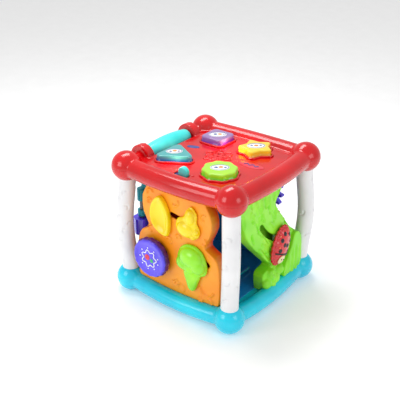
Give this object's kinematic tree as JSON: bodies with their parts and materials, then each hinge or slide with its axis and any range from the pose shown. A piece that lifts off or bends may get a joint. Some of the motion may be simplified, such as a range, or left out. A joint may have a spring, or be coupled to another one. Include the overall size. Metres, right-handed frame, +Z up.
{
  "type": "baby activity cube",
  "caption": "Baby activity cube: a red top with light-up shape buttons and a roller, on posts over a cyan base, with play panels on all sides.",
  "frame": {"origin": "centre of the footprint, on the floor", "axes": "+Z up; -Y is the orange front with the music button; +X is the green side with the ladybird"},
  "size_m": [0.1584, 0.1584, 0.1566],
  "materials": {
    "red_plastic": "gloss moulded ABS",
    "cyan_plastic": "gloss moulded ABS",
    "white_plastic": "satin moulded ABS",
    "orange_plastic": "satin moulded ABS",
    "yellow_plastic": "gloss moulded ABS",
    "lime_plastic": "satin moulded ABS",
    "purple_plastic": "gloss moulded ABS",
    "turquoise_plastic": "gloss moulded ABS",
    "blue_plastic": "satin moulded ABS",
    "teal_plastic": "satin moulded ABS",
    "clear_blue": "tinted translucent plastic",
    "clear_purple": "tinted translucent plastic",
    "clear_yellow": "tinted translucent plastic",
    "clear_green": "tinted translucent plastic",
    "silicone": "matt silicone",
    "circuit": "solder-masked laminate",
    "steel": "zinc plated steel",
    "dark_plastic": "satin moulded ABS",
    "navy_plastic": "satin moulded ABS"
  },
  "bodies": {
    "frame": {"top_cover": "red_plastic", "top_base": "red_plastic", "keypad_mat": "silicone", "circuit_board": "circuit", "speaker": "dark_plastic", "volume_switch": "navy_plastic", "roller_axle": "steel", "base_upper": "cyan_plastic", "base_lower": "cyan_plastic", "battery_box": "dark_plastic", "cell_1": "dark_plastic", "cell_2": "dark_plastic", "battery_door": "cyan_plastic", "battery_door_screw": "steel", "battery_lead": "dark_plastic", "front_panel": "orange_plastic", "front_panel_cover": "orange_plastic", "banana": "yellow_plastic", "broccoli_pin": "steel", "music_button_spring": "steel", "music_button_switch": "circuit", "right_panel": "lime_plastic", "right_panel_cover": "lime_plastic", "left_panel": "teal_plastic", "left_panel_cover": "teal_plastic", "spinner_axle": "steel", "blossom_pin": "steel", "back_panel": "blue_plastic", "back_panel_cover": "blue_plastic", "large_gear_pin": "steel", "small_gear_pin": "steel", "post_front_left": "white_plastic", "post_screw_front_left": "steel", "post_front_right": "white_plastic", "post_screw_front_right": "steel", "post_back_right": "white_plastic", "post_screw_back_right": "steel", "post_back_left": "white_plastic", "post_screw_back_left": "steel", "base_screw_1": "steel", "base_screw_2": "steel", "base_screw_3": "steel", "base_screw_4": "steel"},
    "button_triangle": {"button_triangle": "clear_blue"},
    "button_square": {"button_square": "clear_purple"},
    "button_star": {"button_star": "clear_yellow"},
    "button_flower": {"button_flower": "clear_green"},
    "music_button": {"music_button": "purple_plastic"},
    "volume_knob": {"volume_knob": "turquoise_plastic"},
    "roller": {"roller": "turquoise_plastic"},
    "pear": {"pear": "yellow_plastic", "pear_retainer": "white_plastic"},
    "broccoli": {"broccoli": "lime_plastic", "broccoli_retainer": "white_plastic"},
    "ladybird": {"ladybird": "red_plastic", "ladybird_retainer": "white_plastic"},
    "spinner": {"spinner": "purple_plastic"},
    "blossom": {"blossom": "yellow_plastic"},
    "large_gear": {"large_gear": "purple_plastic"},
    "small_gear": {"small_gear": "red_plastic"}
  },
  "joints": [
    {"name": "button_triangle_press", "type": "slide", "parent": "frame", "child": "button_triangle", "axis": [0, 0, -1], "range_m": [0, 0.002], "stiffness_N_per_m": 400, "springref_m": -0.0006},
    {"name": "button_square_press", "type": "slide", "parent": "frame", "child": "button_square", "axis": [0, 0, -1], "range_m": [0, 0.002], "stiffness_N_per_m": 400, "springref_m": -0.0006},
    {"name": "button_star_press", "type": "slide", "parent": "frame", "child": "button_star", "axis": [0, 0, -1], "range_m": [0, 0.002], "stiffness_N_per_m": 400, "springref_m": -0.0006},
    {"name": "button_flower_press", "type": "slide", "parent": "frame", "child": "button_flower", "axis": [0, 0, -1], "range_m": [0, 0.002], "stiffness_N_per_m": 400, "springref_m": -0.0006},
    {"name": "music_button_press", "type": "slide", "parent": "frame", "child": "music_button", "axis": [0, 1, 0], "range_m": [0, 0.0025], "stiffness_N_per_m": 500, "springref_m": -0.0006},
    {"name": "volume_slide", "type": "slide", "parent": "frame", "child": "volume_knob", "axis": [-1, 0, 0], "range_m": [0, 0.005]},
    {"name": "roller_spin", "type": "hinge", "parent": "frame", "child": "roller", "pos_m": [-0.066, 0, 0.142], "axis": [0, 1, 0], "continuous": true},
    {"name": "pear_slide", "type": "slide", "parent": "frame", "child": "pear", "axis": [-0.989, 0, 0.1478], "range_m": [0, 0.006]},
    {"name": "broccoli_swing", "type": "hinge", "parent": "frame", "child": "broccoli", "pos_m": [0.0206, -0.065, 0.036], "axis": [0, -1, 0], "range_deg": [-24, 10]},
    {"name": "ladybird_climb", "type": "hinge", "parent": "frame", "child": "ladybird", "pos_m": [0.065, 0.0455, 0.1312], "axis": [1, 0, 0], "range_deg": [-32, 0]},
    {"name": "spinner_spin", "type": "hinge", "parent": "frame", "child": "spinner", "pos_m": [-0.062, -0.0465, 0.069], "axis": [0, 0, 1], "continuous": true},
    {"name": "blossom_spin", "type": "hinge", "parent": "frame", "child": "blossom", "pos_m": [-0.065, 0.006, 0.072], "axis": [-1, 0, 0], "continuous": true},
    {"name": "large_gear_spin", "type": "hinge", "parent": "frame", "child": "large_gear", "pos_m": [0.014, 0.065, 0.088], "axis": [0, 1, 0], "continuous": true},
    {"name": "small_gear_spin", "type": "hinge", "parent": "frame", "child": "small_gear", "pos_m": [0.0205, 0.065, 0.04955], "axis": [0, 1, 0], "continuous": true}
  ],
  "couplings": [
    {"joint": "small_gear_spin", "follows": "large_gear_spin", "ratio": -1.1667}
  ]
}
